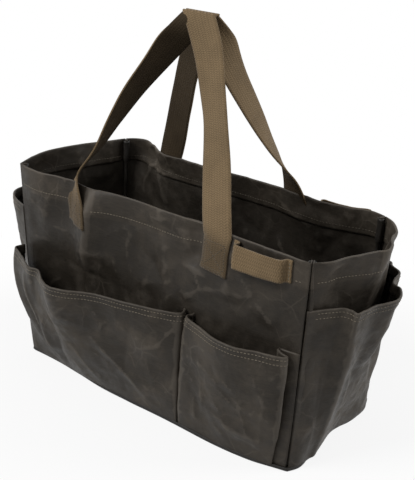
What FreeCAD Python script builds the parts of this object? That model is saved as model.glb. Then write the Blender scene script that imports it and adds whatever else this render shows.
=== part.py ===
import FreeCAD, Part
import math
import os

from FreeCAD import Vector

os.makedirs("parts", exist_ok=True)

# A waxed canvas garden tool bag, in millimetres. +Z is up and the front is -Y.
# The origin is in the middle of the base, where the bag stands on the ground.

# The bag's shell
rim_length = 390.0
base_length = 382.0
rim_width = 154.0
base_width = 178.0
bag_height = 240.0
end_bow_at_rim = 28.0
end_bow_at_base = 4.0
canvas = 1.2
rim_hem = 28.0

# The pockets outside, which stand away from the shell at their mouths
side_pocket_height = 140.0
end_pocket_height = 187.0
pocket_hem = 10.0
large_pocket_depth = 56.0
small_pocket_depth = 34.0
side_gusset = 20.0
end_pocket_depth = 28.0
end_gusset = 16.0
pleat_x = 58.0
pleat_width = 12.0
pleat_depth = 15.0
pocket_depth_at_base = 3.4
end_pocket_depth_at_base = 2.0
crown_at_base = 0.6
fold_in_at_base = 2.0
large_pocket_fold_in = 12.0
small_pocket_fold_in = 6.0
end_pocket_fold_in = 14.0
end_pocket_seam_in = 1.0

# The tapes that close the seams
seam_tape_height = 4.6
seam_tape = 3.4
corner_tape = 2.0
corner_tape_depth = 8.0
corner_tape_below_rim = 1.0

# The webbing of the two handles and the two tool loops
webbing = 1.8
handle_width = 38.0
handle_centre_x = -8.0
handle_spacing = 188.0
handle_slant = 207.0
sewn_end_length = 54.0
twist_low = 0.05
twist_high = 0.44
twist_steps = 7
sewn_end_bevel = 1.4
sewn_end_bevel_height = 2.2
loop_width = 25.0
loop_below_rim = 7.0
loop_from_handle = 4.0
loop_tail = 22.0
loop_span = 40.0
loop_stand = 14.0
loop_end = 6.0

# Thread
thread = 0.4
thread_height = 0.9
rim_stitch_drop = 22.0
pocket_stitch_drops = (3.0, 8.0)
box_margin = 4.0
stitch_gap = 1.0
stitch_end_in = 2.0
stitched_share = (0.04, 0.96)

# Clearances
fit = 0.2
thread_gap = 0.05
hinge_gap = 0.3
lean_gap = 0.4
layer_gap = 0.2

hem_z = bag_height - rim_hem
hinge_y = rim_width / 2 + fit + webbing / 2
hinge_z = bag_height + hinge_gap + webbing / 2
fold_radius = webbing + layer_gap / 2
lean_angle = math.degrees(math.asin((hinge_y - fold_radius - lean_gap / 2) / handle_slant))
loop_start_x = handle_centre_x + handle_spacing / 2 + handle_width / 2 + loop_from_handle


def save(shape, node):
    if not shape.isValid():
        raise ValueError(node + " is not a valid solid")
    shape.exportStep("parts/" + node + ".step")
    print(node, round(shape.Volume), "mm3")


def blend(low, high, share):
    return low + (high - low) * share


def half_length(z):
    return blend(base_length, rim_length, z / bag_height) / 2


def half_width(z):
    return blend(base_width, rim_width, z / bag_height) / 2


def end_bow(z):
    return blend(end_bow_at_base, end_bow_at_rim, z / bag_height)


def end_face_x(y, z):
    """The outer face of the bowed end, at one place across it."""
    bow = end_bow(z)
    radius = (half_width(z) ** 2 + bow ** 2) / (2 * bow)
    return half_length(z) + math.sqrt(radius ** 2 - y ** 2) - (radius - bow)


class Path:
    """A run of straight lines and arcs in plan, for a strip of cloth that stands on edge.

    points are its corners, and middles gives the point that each arc passes through,
    or None for a straight line. Offsets are to the left of the way it runs.
    """

    def __init__(self, points, middles):
        self.points = [Vector(x, y, 0) for x, y in points]
        self.middles = [None if m is None else Vector(m[0], m[1], 0) for m in middles]

    def edge(self, i):
        if self.middles[i] is None:
            return Part.LineSegment(self.points[i], self.points[i + 1])
        return Part.Arc(self.points[i], self.middles[i], self.points[i + 1])

    def left_of(self, i, place):
        """The way to the left of one edge, at a point on it."""
        edge = self.edge(i)
        tangent = edge.tangent(edge.parameter(place))[0]
        return Vector(-tangent.y, tangent.x, 0)

    def offset_point(self, i, distance):
        here = self.points[i]
        before = self.left_of(max(i - 1, 0), here)
        after = self.left_of(min(i, len(self.middles) - 1), here)
        across = before + after
        across.normalize()
        return here + across * (distance / max(across.dot(before), 0.5))

    def offset_middle(self, i, distance):
        return self.middles[i] + self.left_of(i, self.middles[i]) * distance

    def strip(self, z, near, far):
        """The closed outline, at one height, between two offsets of the path."""
        corners = {d: [self.offset_point(i, d) for i in range(len(self.points))] for d in (near, far)}
        edges = []
        for d, order in ((near, range(len(self.middles))), (far, reversed(range(len(self.middles))))):
            for i in order:
                ends = [corners[d][i], corners[d][i + 1]]
                if d == far:
                    ends.reverse()
                ends = [Vector(p.x, p.y, z) for p in ends]
                if self.middles[i] is None:
                    edges.append(Part.LineSegment(*ends))
                else:
                    middle = self.offset_middle(i, d)
                    edges.append(Part.Arc(ends[0], Vector(middle.x, middle.y, z), ends[1]))
            end = -1 if d == near else 0
            across = [corners[near][end], corners[far][end]]
            if d == far:
                across.reverse()
            edges.append(Part.LineSegment(*[Vector(p.x, p.y, z) for p in across]))
        return Part.Wire([e.toShape() for e in edges])


def standing_strip(path_at, low, high, near, far):
    """A strip between two heights, ruled from its lower outline to its upper one."""
    outlines = [path_at(z).strip(z, near, far) for z in (low, high)]
    return Part.makeLoft(outlines, True, True)


def mirrored(path, flip_x, flip_y):
    """The same path on another side of the bag, run so that its left stays outside."""
    turn = [(-1 if flip_x else 1), (-1 if flip_y else 1)]
    points = [(p.x * turn[0], p.y * turn[1]) for p in path.points]
    middles = [None if m is None else (m.x * turn[0], m.y * turn[1]) for m in path.middles]
    if flip_x != flip_y:
        points.reverse()
        middles.reverse()
    return Path(points, middles)


# Every path below is drawn for the front or for the right end, runs so that the outside
# is on its left, and is then mirrored for the back or for the left end.

def side_panel_path(z):
    return Path([(half_length(z), -half_width(z)), (-half_length(z), -half_width(z))], [None])


def end_panel_path(z, inset):
    y = half_width(z) - inset
    return Path([(end_face_x(y, z), y), (end_face_x(y, z), -y)], [(end_face_x(0, z), 0)])


def side_pocket_path(z):
    """The front pocket: two compartments, with a box pleat sewn down between them."""
    share = (z - seam_tape_height) / (side_pocket_height - seam_tape_height)
    half = half_length(z)
    sewn = -half_width(z) - fit

    def out(depth):
        return sewn - blend(pocket_depth_at_base, depth, share)

    left_fold = -half + blend(fold_in_at_base, large_pocket_fold_in, share)
    right_fold = half - blend(fold_in_at_base, small_pocket_fold_in, share)
    pleat_left = pleat_x - pleat_width / 2
    pleat_right = pleat_x + pleat_width / 2
    large_middle = (left_fold + pleat_left) / 2
    small_middle = (pleat_right + right_fold) / 2
    points = [
        (half, sewn),
        (right_fold, out(side_gusset)),
        (pleat_right, out(pleat_depth)),
        (pleat_right, sewn),
        (pleat_left, sewn),
        (pleat_left, out(pleat_depth)),
        (left_fold, out(side_gusset)),
        (-half, sewn),
    ]
    middles = [
        None,
        (small_middle, out(small_pocket_depth) - crown_at_base),
        None,
        None,
        None,
        (large_middle, out(large_pocket_depth) - crown_at_base),
        None,
    ]
    return Path(points, middles)


def end_pocket_path(z):
    share = (z - seam_tape_height) / (end_pocket_height - seam_tape_height)
    sewn_y = half_width(z) - 2 * canvas - end_pocket_seam_in
    fold_y = sewn_y - blend(fold_in_at_base, end_pocket_fold_in, share)
    sewn_x = end_face_x(sewn_y, z) + fit
    fold_x = end_face_x(fold_y, z) + blend(end_pocket_depth_at_base, end_gusset, share)
    middle_x = end_face_x(0, z) + blend(end_pocket_depth_at_base, end_pocket_depth, share)
    points = [(sewn_x, sewn_y), (fold_x, fold_y), (fold_x, -fold_y), (sewn_x, -sewn_y)]
    return Path(points, [None, (middle_x, 0), None])


def panel(path_at, hem_path_at):
    """One panel of the shell, with its upper edge turned in as a hem of double cloth."""
    single = standing_strip(path_at, canvas, hem_z, -canvas, 0)
    hem = standing_strip(hem_path_at, hem_z, bag_height, -2 * canvas, 0)
    return single.fuse(hem).removeSplitter()


def make_shell():
    for node, flip in (("front_panel", False), ("back_panel", True)):
        def path_at(z, flip=flip):
            return mirrored(side_panel_path(z), False, flip)
        save(panel(path_at, path_at), node)
    for node, flip in (("right_end_panel", False), ("left_end_panel", True)):
        def path_at(z, flip=flip):
            return mirrored(end_panel_path(z, canvas), flip, False)

        def hem_path_at(z, flip=flip):
            return mirrored(end_panel_path(z, 2 * canvas), flip, False)
        save(panel(path_at, hem_path_at), node)


def shell_outline(z, grow):
    """The shell in plan at one height, grown outwards all round."""
    x = half_length(z) + grow
    y = half_width(z) + grow
    middle = x + end_bow(z)
    edges = [
        Part.LineSegment(Vector(-x, -y, z), Vector(x, -y, z)),
        Part.Arc(Vector(x, -y, z), Vector(middle, 0, z), Vector(x, y, z)),
        Part.LineSegment(Vector(x, y, z), Vector(-x, y, z)),
        Part.Arc(Vector(-x, y, z), Vector(-middle, 0, z), Vector(-x, -y, z)),
    ]
    return Part.Wire([e.toShape() for e in edges])


def shell_block(low, high, grow):
    return Part.makeLoft([shell_outline(low, grow), shell_outline(high, grow)], True, True)


def make_base():
    save(shell_block(0, canvas, 0), "bottom_panel")
    low = fit
    high = seam_tape_height - fit
    tape = shell_block(low, high, fit + seam_tape).cut(shell_block(low, high, fit))
    save(tape, "bottom_seam_tape")


def make_corner_tapes():
    """The tape over each corner seam, which stands into the bag from the corner."""
    for end, flip_x in (("right", False), ("left", True)):
        for side, flip_y in (("front", False), ("back", True)):
            def path_at(z, flip_x=flip_x, flip_y=flip_y):
                start = 2 * canvas + corner_tape / 2
                x = half_length(z) - start
                y = -half_width(z) + start
                step = corner_tape_depth / math.sqrt(2)
                return mirrored(Path([(x, y), (x - step, y + step)], [None]), flip_x, flip_y)
            top = bag_height - corner_tape_below_rim
            tape = standing_strip(path_at, canvas + fit, top, -corner_tape / 2, corner_tape / 2)
            save(tape, "corner_tape_" + side + "_" + end)


def pocket(path_at, height):
    """A pocket with its mouth turned over as a hem of double cloth."""
    single = standing_strip(path_at, seam_tape_height, height - pocket_hem, 0, canvas)
    hem = standing_strip(path_at, height - pocket_hem, height, 0, 2 * canvas)
    return single.fuse(hem).removeSplitter()


def side_pocket_at(flip):
    return lambda z: mirrored(side_pocket_path(z), False, flip)


def end_pocket_at(flip):
    return lambda z: mirrored(end_pocket_path(z), flip, False)


def make_pockets():
    save(pocket(side_pocket_at(False), side_pocket_height), "front_pocket")
    save(pocket(side_pocket_at(True), side_pocket_height), "back_pocket")
    save(pocket(end_pocket_at(False), end_pocket_height), "right_end_pocket")
    save(pocket(end_pocket_at(True), end_pocket_height), "left_end_pocket")


def box_between(low, high):
    size = [abs(b - a) for a, b in zip(low, high)]
    corner = Vector(*[min(a, b) for a, b in zip(low, high)])
    return Part.makeBox(*size, corner)


def handle_leg_centres():
    return (handle_centre_x - handle_spacing / 2, handle_centre_x + handle_spacing / 2)


def lay_on_panel(shape, sign):
    """Tips a shape that was built on an upright face at the rim onto the sloping side panel."""
    slope = math.degrees(math.atan2(half_width(0) - half_width(bag_height), bag_height))
    shape.rotate(Vector(0, sign * half_width(bag_height), bag_height), Vector(1, 0, 0), sign * slope)
    return shape


def sewn_end(x, sign):
    """The end of a handle's webbing, sewn flat on the outside of the side panel.

    Its upper edge slopes away outwards, to clear the handle when that hangs down.
    """
    face = half_width(bag_height) + fit
    top = bag_height
    bevel = min(sewn_end_bevel, webbing)
    profile = [
        (face, top - sewn_end_length),
        (face + webbing, top - sewn_end_length),
        (face + webbing, top - sewn_end_bevel_height),
        (face + webbing - bevel, top),
        (face, top),
    ]
    corners = [Vector(x - handle_width / 2, sign * y, z) for y, z in profile]
    return Part.Face(Part.makePolygon(corners + [corners[0]])).extrude(Vector(handle_width, 0, 0))


def section(centre, across, normal, width, offset):
    """One cross-section of the webbing, as a closed outline."""
    middle = centre + normal * offset
    side = across * (width / 2)
    up = normal * (webbing / 2)
    corners = [middle - side - up, middle + side - up, middle + side + up, middle - side + up]
    return Part.makePolygon(corners + [corners[0]])


def handle_leg(side, twisted):
    """One leg of a handle, in the handle's own plane: X across, Y up the slant, Z outwards.

    Its foot is on the hinge line and its top on the fold. The twisted leg makes half a
    turn near its foot, so that its outer face comes back to the outside where it is sewn.
    """
    foot = Vector(side * handle_spacing / 2, 0, 0)
    top = Vector(0, handle_slant, 0)
    along = top - foot
    along.normalize()
    square = Vector(along.y, -along.x, 0)
    outwards = Vector(0, 0, 1)
    fold_length = handle_width / along.y
    layer = (webbing + layer_gap) / 2 * (-1 if twisted else 1)
    outlines = [section(foot, Vector(1, 0, 0), outwards, handle_width, 0)]
    for i in range(twist_steps + 1):
        share = blend(twist_low, twist_high, i / twist_steps)
        angle = math.pi * i / twist_steps if twisted else 0.0
        across = square * math.cos(angle) + outwards * math.sin(angle)
        normal = outwards * math.cos(angle) - square * math.sin(angle)
        offset = layer * share / twist_high * (math.cos(angle) if twisted else 1.0)
        outlines.append(section(foot + (top - foot) * share, across, normal, handle_width, offset))
    last = -1 if twisted else 1
    outlines.append(section(top, Vector(last, 0, 0), outwards * last, fold_length, layer * last))
    return Part.makeLoft(outlines, True, True)


def handle_loop():
    """The free part of a handle, one flat strip folded over at the top."""
    solid = handle_leg(1, False).fuse(handle_leg(-1, True))
    fold_length = handle_width * math.hypot(handle_spacing / 2, handle_slant) / handle_slant
    fold_start = Vector(-fold_length / 2, handle_slant, 0)
    solid = solid.fuse(Part.makeCylinder(fold_radius, fold_length, fold_start, Vector(1, 0, 0)))
    for side in (-1, 1):
        start = Vector(side * handle_spacing / 2 - handle_width / 2, 0, 0)
        solid = solid.fuse(Part.makeCylinder(webbing / 2, handle_width, start, Vector(1, 0, 0)))
    return solid


def make_handles():
    left, right = handle_leg_centres()
    for node, sign in (("front", -1), ("back", 1)):
        for name, x in (("left", left), ("right", right)):
            save(lay_on_panel(sewn_end(x, sign), sign), node + "_handle_" + name + "_end")
        loop = handle_loop()
        loop.rotate(Vector(0, 0, 0), Vector(1, 0, 0), 90 - lean_angle)
        loop.translate(Vector(0, -hinge_y, hinge_z))
        if sign > 0:
            loop.rotate(Vector(0, 0, 0), Vector(0, 0, 1), 180)
        loop.translate(Vector(handle_centre_x, 0, 0))
        save(loop, node + "_handle")


def tool_loop_path():
    """Short webbing on the hem: a tail sewn flat, a loop that stands out, and an end."""
    sewn = -half_width(bag_height) - fit
    x = [loop_start_x, loop_start_x + loop_tail]
    x.append(x[1] + loop_span)
    x.append(x[2] + loop_end)
    middle = (x[1] + loop_span / 2, sewn - loop_stand)
    return Path([(x[3], sewn), (x[2], sewn), (x[1], sewn), (x[0], sewn)], [None, middle, None])


def make_tool_loops():
    top = bag_height - loop_below_rim
    for node, sign in (("front_tool_loop", -1), ("back_tool_loop", 1)):
        path = mirrored(tool_loop_path(), False, sign > 0)
        loop = standing_strip(lambda z, path=path: path, top - loop_width, top, 0, webbing)
        save(lay_on_panel(loop, sign), node)


def flat_thread(x_low, x_high, z, sign, face):
    """A row of stitching that runs level on a flat face."""
    return box_between((x_low, sign * face, z), (x_high, sign * (face + thread), z + thread_height))


def slanted_thread(x, z, length, angle, sign, face):
    bar = flat_thread(x - length / 2, x + length / 2, z - thread_height / 2, sign, face)
    bar.rotate(Vector(x, 0, z), Vector(0, 1, 0), angle)
    return bar


def box_stitching(x, z, width, height, sign, face):
    """The sewn square with a cross in it that holds down webbing."""
    bars = [slanted_thread(x, z + k * height / 2, width, 0, sign, face) for k in (-1, 1)]
    bars += [slanted_thread(x + k * width / 2, z, height, 90, sign, face) for k in (-1, 1)]
    slope = math.degrees(math.atan2(height, width))
    bars += [slanted_thread(x, z, math.hypot(width, height), k * slope, sign, face) for k in (-1, 1)]
    solid = bars[0]
    for bar in bars[1:]:
        solid = solid.fuse(bar)
    return solid.removeSplitter()


def arc_stitching(path_at, i, z, face):
    """A row of stitching along the middle of one arc of a path."""
    def stretch_at(height):
        edge = path_at(height).edge(i)
        low, high = edge.FirstParameter, edge.LastParameter
        start, finish = [edge.value(blend(low, high, share)) for share in stitched_share]
        middle = edge.value((low + high) / 2)
        return Path([(start.x, start.y), (finish.x, finish.y)], [(middle.x, middle.y)])
    near = face + thread_gap
    return standing_strip(stretch_at, z, z + thread_height, near, near + thread)


def make_stitching():
    z = bag_height - rim_stitch_drop
    left, right = handle_leg_centres()
    half = handle_width / 2 + stitch_gap
    loop_finish = loop_start_x + loop_tail + loop_span + loop_end
    ends = half_length(z) - stitch_end_in
    stretches = [(-ends, left - half), (left + half, right - half)]
    stretches += [(right + half, loop_start_x - stitch_gap), (loop_finish + stitch_gap, ends)]
    rim_y = half_width(bag_height)
    rim = []
    for sign in (-1, 1):
        rows = [flat_thread(a, b, z, sign, rim_y) for a, b in stretches if b > a]
        rim += [lay_on_panel(row, sign) for row in rows]
    for flip in (False, True):
        def path_at(height, flip=flip):
            return mirrored(end_panel_path(height, 2 * canvas), flip, False)
        rim.append(arc_stitching(path_at, 0, z, 0))
    save(Part.makeCompound(rim), "rim_stitching")

    for node, flip, path_for, height, arcs in (
        ("front_pocket", False, side_pocket_at, side_pocket_height, (1, 5)),
        ("back_pocket", True, side_pocket_at, side_pocket_height, (1, 5)),
        ("right_end_pocket", False, end_pocket_at, end_pocket_height, (1,)),
        ("left_end_pocket", True, end_pocket_at, end_pocket_height, (1,)),
    ):
        rows = [
            arc_stitching(path_for(flip), i, height - drop, 2 * canvas)
            for i in arcs
            for drop in pocket_stitch_drops
        ]
        save(Part.makeCompound(rows), node + "_stitching")

    face = rim_y + fit + webbing
    box = handle_width - 2 * box_margin
    box_z = bag_height - sewn_end_length + box_margin + box / 2
    for node, sign in (("front", -1), ("back", 1)):
        boxes = [box_stitching(x, box_z, box, box, sign, face) for x in (left, right)]
        save(lay_on_panel(Part.makeCompound(boxes), sign), node + "_handle_stitching")

        loop_z = bag_height - loop_below_rim - loop_width / 2
        tall = loop_width - 2 * box_margin
        tail = loop_tail - 2 * box_margin
        rows = [box_stitching(loop_start_x + loop_tail / 2, loop_z, tail, tall, sign, face)]
        rows.append(slanted_thread(loop_finish - loop_end / 2, loop_z, tall, 90, sign, face))
        save(lay_on_panel(Part.makeCompound(rows), sign), node + "_tool_loop_stitching")


make_shell()
make_base()
make_corner_tapes()
make_pockets()
make_handles()
make_tool_loops()
make_stitching()
print("hinges at y", round(hinge_y, 2), "z", round(hinge_z, 2), "lean", round(lean_angle, 2))
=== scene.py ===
import math
from functools import partial

import bpy
import numpy as np
from mathutils import Matrix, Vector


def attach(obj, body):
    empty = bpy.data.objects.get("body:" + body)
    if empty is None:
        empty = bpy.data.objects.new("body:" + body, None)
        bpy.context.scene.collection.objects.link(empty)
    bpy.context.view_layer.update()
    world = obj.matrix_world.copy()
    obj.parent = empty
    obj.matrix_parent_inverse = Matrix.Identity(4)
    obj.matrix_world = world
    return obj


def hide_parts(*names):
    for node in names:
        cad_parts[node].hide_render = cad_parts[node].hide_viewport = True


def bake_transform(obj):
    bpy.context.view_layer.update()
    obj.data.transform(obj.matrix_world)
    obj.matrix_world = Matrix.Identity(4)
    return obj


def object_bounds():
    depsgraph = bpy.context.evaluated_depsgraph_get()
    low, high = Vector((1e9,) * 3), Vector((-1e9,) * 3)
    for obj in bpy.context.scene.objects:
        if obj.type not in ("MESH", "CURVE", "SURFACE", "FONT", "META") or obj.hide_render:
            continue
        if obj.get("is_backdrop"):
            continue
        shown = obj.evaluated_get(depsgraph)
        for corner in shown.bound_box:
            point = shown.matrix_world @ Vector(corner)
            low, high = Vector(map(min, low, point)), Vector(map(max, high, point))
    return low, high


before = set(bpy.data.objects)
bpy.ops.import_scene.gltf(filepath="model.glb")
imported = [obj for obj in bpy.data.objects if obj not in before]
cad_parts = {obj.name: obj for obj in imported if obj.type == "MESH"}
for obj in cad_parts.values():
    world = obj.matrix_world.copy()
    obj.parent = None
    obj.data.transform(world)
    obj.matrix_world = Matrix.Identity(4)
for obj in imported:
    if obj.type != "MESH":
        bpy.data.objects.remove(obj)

cadBox = [list(corner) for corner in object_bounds()]

# Sizes below are in millimetres: x along the bag, y from front to back, z up.
# seamReach is the length of cloth beside a corner that seamColumns columns share.
bag = {"height": 240.0, "canvas": 1.2, "cell": 2.6, "hemGap": 1.5, "rimHem": 28.0, "pocketHem": 10.0,
       "allowance": 8.0, "seamReach": 10.5, "seamColumns": 14, "foot": 1.4}
sideOrder = ["front", "right", "back", "left"]


def unit(vectors):
    return vectors / np.maximum(np.linalg.norm(vectors, axis=-1, keepdims=True), 1e-9)


def within(values):
    return np.clip(values, 0, 1)


def runAlong(points):
    # how far along the line each of its points lies
    return np.concatenate([[0], np.cumsum(np.linalg.norm(np.diff(points, axis=0), axis=1))])


def smoothRow(points, count, flat=2):
    # even steps on a smooth curve; the first columns are the place, the others go along
    points = np.array(points, float)
    steps = np.linalg.norm(np.diff(points[:, :flat], axis=0), axis=1)
    knots = np.concatenate([[0], np.cumsum(np.sqrt(np.maximum(steps, 0.05)))])
    slopes = np.diff(points, axis=0) / np.diff(knots)[:, None]
    tangents = np.empty_like(points)
    tangents[0], tangents[-1] = slopes[0], slopes[-1]
    before, after = np.diff(knots)[:-1, None], np.diff(knots)[1:, None]
    tangents[1:-1] = (slopes[:-1] * after + slopes[1:] * before) / (before + after)
    fine = np.linspace(0, knots[-1], len(points) * 24)
    i = np.clip(np.searchsorted(knots, fine, side="right") - 1, 0, len(points) - 2)
    span = (knots[i + 1] - knots[i])[:, None]
    t = ((fine - knots[i])[:, None]) / span
    curve = ((2 * t**3 - 3 * t**2 + 1) * points[i] + (t**3 - 2 * t**2 + t) * span * tangents[i]
             + (3 * t**2 - 2 * t**3) * points[i + 1] + (t**3 - t**2) * span * tangents[i + 1])
    run = runAlong(curve[:, :flat])
    places = np.linspace(0, run[-1], count)
    return np.stack([np.interp(places, run, curve[:, k]) for k in range(points.shape[1])], axis=1)


def normalsOf(grid):
    return unit(np.cross(np.gradient(grid, axis=1), np.gradient(grid, axis=0)))


def softNoise(u, v, size, seed):
    table = np.random.default_rng(seed).uniform(-1, 1, (61, 61))
    a, b = u / size + 17.3, v / size + 11.7
    i, j = np.floor(a).astype(int), np.floor(b).astype(int)
    f, g = a - i, b - j
    f, g = f * f * (3 - 2 * f), g * g * (3 - 2 * g)
    corner = lambda p, q: table[(i + p) % 61, (j + q) % 61]
    low = corner(0, 0) * (1 - f) + corner(1, 0) * f
    high = corner(0, 1) * (1 - f) + corner(1, 1) * f
    return low * (1 - g) + high * g


def crumple(u, v, size, seed):
    # broad facets that meet in soft creases, as waxed cloth keeps after handling
    lean = softNoise(u, v, size * 1.7, seed + 5) * size * 0.5
    first = 1 - 2 * np.abs(softNoise(u + lean, v - lean, size, seed))
    second = 1 - 2 * np.abs(softNoise(u - lean, v + lean, size * 0.55, seed + 1))
    return 0.65 * first + 0.35 * second


def foldHeight(u, v, shape):
    # each fold is (height outwards, width, then the u and v of each point of its line);
    # ridges have a sharp crest and dents a round one
    total = np.zeros_like(u)
    for kind in ("ridges", "dents"):
        for height, width, *line in shape.get(kind, []):
            line = np.array(line, float).reshape(-1, 2)
            legs = np.diff(line, axis=0)
            lengths, starts = np.linalg.norm(legs, axis=1), runAlong(line)
            best, share = np.full(u.shape, 1e9), np.zeros(u.shape)
            for k, leg in enumerate(legs):
                t = ((u - line[k, 0]) * leg[0] + (v - line[k, 1]) * leg[1]) / lengths[k] ** 2
                t = within(t)
                away = np.hypot(u - line[k, 0] - t * leg[0], v - line[k, 1] - t * leg[1])
                nearer = away < best
                best = np.where(nearer, away, best)
                share = np.where(nearer, (starts[k] + t * lengths[k]) / starts[-1], share)
            fade = within(np.minimum(share, 1 - share) * 4) ** 0.7
            if kind == "ridges":
                crest = np.exp(-(np.sqrt(best**2 + 0.6) / width))
            else:
                crest = np.exp(-(best / width) ** 2)
            total += height * fade * crest
    return total


def withHem(grid, depth, seam=0):
    # the cloth rolls over its top edge and goes down the inside; it is pressed flat in the seams
    outward, gap = normalsOf(grid), bag["hemGap"]
    if seam:
        columns = np.arange(grid.shape[1])
        inFrom = np.minimum(columns, columns[::-1])
        gap = gap * np.clip((inFrom - seam * 0.7) / (seam * 0.7), 0.1, 1)[:, None]
    top, up = grid[-1], unit(grid[-1] - grid[-2])
    rolled = []
    for angle in (30, 90, 150):
        a = math.radians(angle)
        rolled.append(top - outward[-1] * gap / 2 * (1 - math.cos(a)) + up * gap / 2 * math.sin(a))
    inside = [grid[-1 - k] - outward[-1 - k] * gap for k in range(round(depth / bag["cell"]) + 1)]
    return np.concatenate([grid, np.array(rolled), np.array(inside)])


def gridAt(grid, row, column):
    row = np.clip(row, 0, grid.shape[0] - 1.001)
    column = np.clip(column, 0, grid.shape[1] - 1.001)
    i, j = np.floor(row).astype(int), np.floor(column).astype(int)
    f, g = (row - i)[..., None], (column - j)[..., None]
    return ((grid[i, j] * (1 - f) + grid[i + 1, j] * f) * (1 - g)
            + (grid[i, j + 1] * (1 - f) + grid[i + 1, j + 1] * f) * g)


class Cloth:
    # an outside face of cloth with lookups by place and height
    def __init__(self, grid, axis):
        self.grid, self.axis = grid, axis
        self.normals = normalsOf(grid)
        self.step = (grid[-1, 0, 2] - grid[0, 0, 2]) / (grid.shape[0] - 1)

    def at(self, along, z, lift):
        along, z = np.broadcast_arrays(np.asarray(along, float), np.asarray(z, float))
        spots = np.empty(along.shape + (3,))
        for index in np.ndindex(along.shape):
            row = min(max((z[index] - self.grid[0, 0, 2]) / self.step, 0), len(self.grid) - 1.001)
            line = self.grid[int(row), :, self.axis]
            columns = np.arange(len(line))
            if line[-1] < line[0]:
                line, columns = line[::-1], columns[::-1]
            here = np.array(row), np.array(float(np.interp(along[index], line, columns)))
            spots[index] = gridAt(self.grid, *here) + lift * unit(gridAt(self.normals, *here))
        return spots

    def rowLine(self, z, lift, first, last):
        row = (z - self.grid[0, 0, 2]) / self.step
        columns = np.arange(self.grid.shape[1], dtype=float)[first:last]
        rows = np.full(columns.shape, float(row))
        normals = unit(gridAt(self.normals, rows, columns))
        return gridAt(self.grid, rows, columns) + lift * normals, normals


def paintPoints(mesh, name, values):
    mesh.attributes.new(name, "FLOAT", "POINT").data.foreach_set("value", np.asarray(values, dtype=np.float32))


def meshPiece(name, points, faces, materials, flat, facePaint=None, wear=None):
    mesh = bpy.data.meshes.new(name)
    mesh.from_pydata((np.asarray(points) * 0.001).tolist(), [], faces)
    mesh.validate()
    for material in materials:
        mesh.materials.append(material)
    if facePaint is not None:
        mesh.polygons.foreach_set("material_index", np.asarray(facePaint, dtype=np.int32))
    loops = np.empty(len(mesh.loops), dtype=np.int32)
    mesh.loops.foreach_get("vertex_index", loops)
    layer = mesh.uv_layers.new(name="flat")
    layer.data.foreach_set("uv", (np.asarray(flat)[loops] * 0.001).astype(np.float32).ravel())
    if wear is not None:
        paintPoints(mesh, "wear", wear)
    mesh.shade_smooth()
    piece = bpy.data.objects.new(name, mesh)
    bpy.context.scene.collection.objects.link(piece)
    return piece


def convexity(grid, normals, reach=2):
    # how far a place stands above the cloth round it
    padded = np.pad(grid, ((reach, reach), (reach, reach), (0, 0)), mode="edge")
    rows, columns = grid.shape[:2]
    around = (padded[:rows, reach:-reach] + padded[2 * reach:, reach:-reach]
              + padded[reach:-reach, :columns] + padded[reach:-reach, 2 * reach:]) / 4
    return np.sum((grid - around) * normals, axis=-1)


def thickCloth(name, grid, thickness, materials, wearGain=1.6, calm=2):
    # a closed solid sheet on both sides of the grid; calm columns at each end show no wear
    rows, columns = grid.shape[:2]
    normals = normalsOf(grid)
    bend = convexity(grid, normals)
    bend[:, :calm] = bend[:, -calm:] = 0
    outer, inner = grid + normals * thickness / 2, grid - normals * thickness / 2
    points = np.concatenate([outer.reshape(-1, 3), inner.reshape(-1, 3)])
    across, along = [
        np.concatenate([[0], np.cumsum(np.linalg.norm(np.diff(grid, axis=way), axis=2).mean(axis=1 - way))])
        for way in (1, 0)]
    flat = np.stack(np.meshgrid(across, along), axis=-1).reshape(-1, 2)
    flat = np.concatenate([flat, flat + [7.3, 3.1]])
    wear = np.concatenate([within(sign * bend * wearGain).ravel() for sign in (1, -1)])
    total = rows * columns
    i, j = np.meshgrid(np.arange(rows - 1), np.arange(columns - 1), indexing="ij")
    a = (i * columns + j).ravel()
    b, c, d = a + 1, a + columns + 1, a + columns
    walls = []
    for start, count, step, turned in ((0, columns, 1, False), (total - columns, columns, 1, True),
                                       (0, rows, columns, True), (columns - 1, rows, columns, False)):
        p = start + np.arange(count - 1) * step
        q = p + step
        walls.append(np.stack([p, q, q + total, p + total] if turned else [q, p, p + total, q + total], 1))
    faces = np.concatenate([np.stack([a, b, c, d], 1), np.stack([d, c, b, a], 1) + total, *walls])
    # the inside of the sheet has the second material
    paint = np.zeros(len(faces), int)
    paint[len(a):2 * len(a)] = len(materials) - 1
    return meshPiece(name, points, faces.tolist(), materials, flat, paint, wear)


stitch = {"pitch": 3.7, "length": 2.9, "radius": 0.42, "sides": 6, "sections": 6}


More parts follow.
